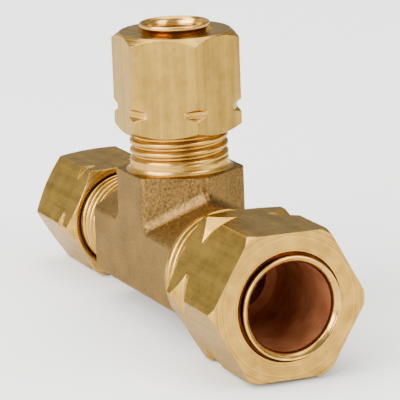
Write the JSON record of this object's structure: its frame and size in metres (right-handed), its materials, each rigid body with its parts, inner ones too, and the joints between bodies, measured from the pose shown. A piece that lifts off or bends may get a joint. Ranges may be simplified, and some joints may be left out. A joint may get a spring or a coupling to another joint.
{
  "type": "compression tee fitting",
  "caption": "Brass reducing tee with a hexagonal forged body, threaded ends, hexagon nuts and captive sleeves that clamp round tube on the run and the branch.",
  "frame": {"origin": "where the centre line of the run crosses the centre line of the branch", "axes": "+X along the run towards the large end, +Z along the branch towards its nut, +Y out of the body's back flat"},
  "size_m": [0.0576, 0.0184, 0.0342],
  "materials": {
    "forged_brass": "forged and blasted, fine grained",
    "turned_brass": "drawn bar flats with turned ends",
    "sleeve_brass": "turned, bright"
  },
  "bodies": {
    "tee": {"tee_body": "forged_brass"},
    "large_run_sleeve": {"large_run_sleeve": "sleeve_brass"},
    "large_run_nut": {"large_run_nut": "turned_brass"},
    "small_run_sleeve": {"small_run_sleeve": "sleeve_brass"},
    "small_run_nut": {"small_run_nut": "turned_brass"},
    "branch_sleeve": {"branch_sleeve": "sleeve_brass"},
    "branch_nut": {"branch_nut": "turned_brass"}
  },
  "joints": [
    {"name": "large_run_sleeve_slide", "type": "slide", "parent": "tee", "child": "large_run_sleeve", "axis": [1, 0, 0], "range_m": [-0.00132, 0.00688]},
    {"name": "large_run_nut_turn", "type": "hinge", "parent": "large_run_sleeve", "child": "large_run_nut", "pos_m": [0.0216, 0, 0], "axis": [1, 0, 0], "range_deg": [-450, 2340]},
    {"name": "small_run_sleeve_slide", "type": "slide", "parent": "tee", "child": "small_run_sleeve", "axis": [-1, 0, 0], "range_m": [-0.00132, 0.00556]},
    {"name": "small_run_nut_turn", "type": "hinge", "parent": "small_run_sleeve", "child": "small_run_nut", "pos_m": [-0.0226, 0, 0], "axis": [-1, 0, 0], "range_deg": [-450, 1890]},
    {"name": "branch_sleeve_slide", "type": "slide", "parent": "tee", "child": "branch_sleeve", "axis": [0, 0, 1], "range_m": [-0.00132, 0.00556]},
    {"name": "branch_nut_turn", "type": "hinge", "parent": "branch_sleeve", "child": "branch_nut", "pos_m": [0, 0, 0.0197], "axis": [0, 0, 1], "range_deg": [-450, 1890]}
  ],
  "couplings": [
    {"joint": "large_run_sleeve_slide", "follows": "large_run_nut_turn", "m_per_rad": 0.00016844},
    {"joint": "small_run_sleeve_slide", "follows": "small_run_nut_turn", "m_per_rad": 0.00016844},
    {"joint": "branch_sleeve_slide", "follows": "branch_nut_turn", "m_per_rad": 0.00016844}
  ]
}
